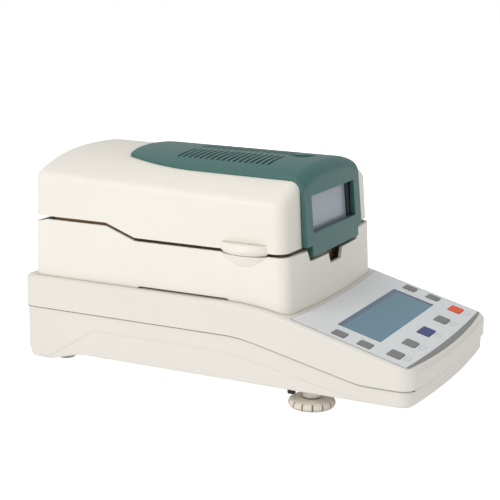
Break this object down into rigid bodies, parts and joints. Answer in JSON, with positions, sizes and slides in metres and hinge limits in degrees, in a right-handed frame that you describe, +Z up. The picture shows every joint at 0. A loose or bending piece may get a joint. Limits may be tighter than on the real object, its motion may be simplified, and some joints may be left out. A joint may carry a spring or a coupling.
{
  "type": "moisture analyzer",
  "caption": "Bench moisture analyzer: a balance in a wedge-shaped case with a sloping key and display panel, and a heating chamber under a hinged lid with a window.",
  "frame": {"origin": "centre of the overall plan box, on the table", "axes": "+X to the instrument's right as seen from its front, front towards -Y, +Z up"},
  "size_m": [0.209, 0.387, 0.2027],
  "materials": {
    "cream_plastic": "fine satin",
    "warm_plastic": "fine satin",
    "green_plastic": "satin",
    "dark_plastic": "matte",
    "smoked_glass": "clear",
    "overlay": "satin film",
    "key_grey": "satin",
    "key_blue": "satin",
    "key_orange": "satin",
    "circuit_board": "lacquered",
    "display": "glossy",
    "foot_plastic": "satin",
    "rubber": "matte",
    "steel": "brushed",
    "sheet_metal": "bright",
    "cast_metal": "machined",
    "lamp": "clear quartz"
  },
  "bodies": {
    "case": {"base_screws": "steel", "board_parts": "dark_plastic", "cell_mount": "cast_metal", "chamber_floor": "sheet_metal", "chamber_housing": "warm_plastic", "chamber_liner": "sheet_metal", "chassis_plate": "cast_metal", "display_window": "smoked_glass", "draft_ring": "sheet_metal", "foot_collars": "foot_plastic", "hinge_brackets": "steel", "housing_screws": "steel", "inlet_pins": "steel", "jack_screws": "steel", "key_switches": "dark_plastic", "keypad_board": "circuit_board", "keypad_overlay": "overlay", "lcd_board": "circuit_board", "lcd_module": "display", "load_cell": "cast_metal", "lower_shell": "cream_plastic", "main_board": "circuit_board", "pan_support": "steel", "power_inlet": "dark_plastic", "power_supply": "cast_metal", "rear_feet": "rubber", "rocker_frame": "dark_plastic", "serial_port": "steel", "spindle": "steel", "upper_shell": "cream_plastic"},
    "lid": {"lid_shell": "warm_plastic", "lid_cover": "green_plastic", "window_bezel": "dark_plastic", "window_pane": "smoked_glass", "hinge_pins": "steel", "reflector_plate": "sheet_metal", "glass_frame": "sheet_metal", "lamp_glass": "smoked_glass", "halogen_lamp": "lamp", "lamp_clips": "dark_plastic", "temperature_sensor": "steel"},
    "key_left_rear": {"key_left_rear": "key_grey"},
    "key_left_front": {"key_left_front": "key_grey"},
    "key_right_rear": {"key_right_rear": "key_grey"},
    "key_right_front": {"key_right_front": "key_grey"},
    "key_row_1": {"key_row_1": "key_grey"},
    "key_row_2": {"key_row_2": "key_grey"},
    "key_row_3": {"key_row_3": "key_blue"},
    "key_row_4": {"key_row_4": "key_grey"},
    "key_row_5": {"key_row_5": "key_orange"},
    "foot_left_stud": {"foot_stud_left": "steel"},
    "foot_left_disc": {"foot_disc_left": "foot_plastic"},
    "foot_right_stud": {"foot_stud_right": "steel"},
    "foot_right_disc": {"foot_disc_right": "foot_plastic"},
    "rocker": {"power_rocker": "dark_plastic"},
    "drawer": {"fuse_drawer": "dark_plastic"},
    "transit": {"transit_screw": "steel"},
    "holder": {"pan_holder": "steel"},
    "pan": {"sample_pan": "sheet_metal"}
  },
  "joints": [
    {"name": "lid_hinge", "type": "hinge", "parent": "case", "child": "lid", "pos_m": [0, 0.179, 0.149], "axis": [-1, 0, 0], "range_deg": [0, 85]},
    {"name": "key_left_rear_press", "type": "slide", "parent": "case", "child": "key_left_rear", "axis": [0, 0.2562, -0.9666], "range_m": [0, 0.0005], "stiffness_N_per_m": 800},
    {"name": "key_left_front_press", "type": "slide", "parent": "case", "child": "key_left_front", "axis": [0, 0.2562, -0.9666], "range_m": [0, 0.0005], "stiffness_N_per_m": 800},
    {"name": "key_right_rear_press", "type": "slide", "parent": "case", "child": "key_right_rear", "axis": [0, 0.2562, -0.9666], "range_m": [0, 0.0005], "stiffness_N_per_m": 800},
    {"name": "key_right_front_press", "type": "slide", "parent": "case", "child": "key_right_front", "axis": [0, 0.2562, -0.9666], "range_m": [0, 0.0005], "stiffness_N_per_m": 800},
    {"name": "key_row_1_press", "type": "slide", "parent": "case", "child": "key_row_1", "axis": [0, 0.2562, -0.9666], "range_m": [0, 0.0005], "stiffness_N_per_m": 800},
    {"name": "key_row_2_press", "type": "slide", "parent": "case", "child": "key_row_2", "axis": [0, 0.2562, -0.9666], "range_m": [0, 0.0005], "stiffness_N_per_m": 800},
    {"name": "key_row_3_press", "type": "slide", "parent": "case", "child": "key_row_3", "axis": [0, 0.2562, -0.9666], "range_m": [0, 0.0005], "stiffness_N_per_m": 800},
    {"name": "key_row_4_press", "type": "slide", "parent": "case", "child": "key_row_4", "axis": [0, 0.2562, -0.9666], "range_m": [0, 0.0005], "stiffness_N_per_m": 800},
    {"name": "key_row_5_press", "type": "slide", "parent": "case", "child": "key_row_5", "axis": [0, 0.2562, -0.9666], "range_m": [0, 0.0005], "stiffness_N_per_m": 800},
    {"name": "foot_left_lift", "type": "slide", "parent": "case", "child": "foot_left_stud", "axis": [0, 0, 1], "range_m": [-0.008, 0.001]},
    {"name": "foot_left_turn", "type": "hinge", "parent": "foot_left_stud", "child": "foot_left_disc", "pos_m": [-0.075, -0.0888, 0], "axis": [0, 0, 1], "range_deg": [-2400, 400]},
    {"name": "foot_right_lift", "type": "slide", "parent": "case", "child": "foot_right_stud", "axis": [0, 0, 1], "range_m": [-0.008, 0.001]},
    {"name": "foot_right_turn", "type": "hinge", "parent": "foot_right_stud", "child": "foot_right_disc", "pos_m": [0.075, -0.0888, 0], "axis": [0, 0, 1], "range_deg": [-2400, 400]},
    {"name": "power_rocker_tilt", "type": "hinge", "parent": "case", "child": "rocker", "pos_m": [-0.006, 0.1891, 0.038], "axis": [1, 0, 0], "range_deg": [0, 18]},
    {"name": "fuse_drawer_pull", "type": "slide", "parent": "case", "child": "drawer", "axis": [0, 1, 0], "range_m": [0, 0.025]},
    {"name": "transit_screw_turn", "type": "hinge", "parent": "case", "child": "transit", "pos_m": [-0.088, -0.0755, 0.02], "axis": [0, 0, 1], "range_deg": [0, 90]},
    {"name": "holder_lift", "type": "slide", "parent": "case", "child": "holder", "axis": [0, 0, 1], "range_m": [0, 0.025]},
    {"name": "pan_lift", "type": "slide", "parent": "case", "child": "pan", "axis": [0, 0, 1], "range_m": [0, 0.025]}
  ],
  "couplings": [
    {"joint": "foot_left_turn", "follows": "foot_left_lift", "rad_per_m": 5026.5},
    {"joint": "foot_right_turn", "follows": "foot_right_lift", "rad_per_m": 5026.5},
    {"joint": "pan_lift", "follows": "holder_lift", "ratio": 1}
  ]
}
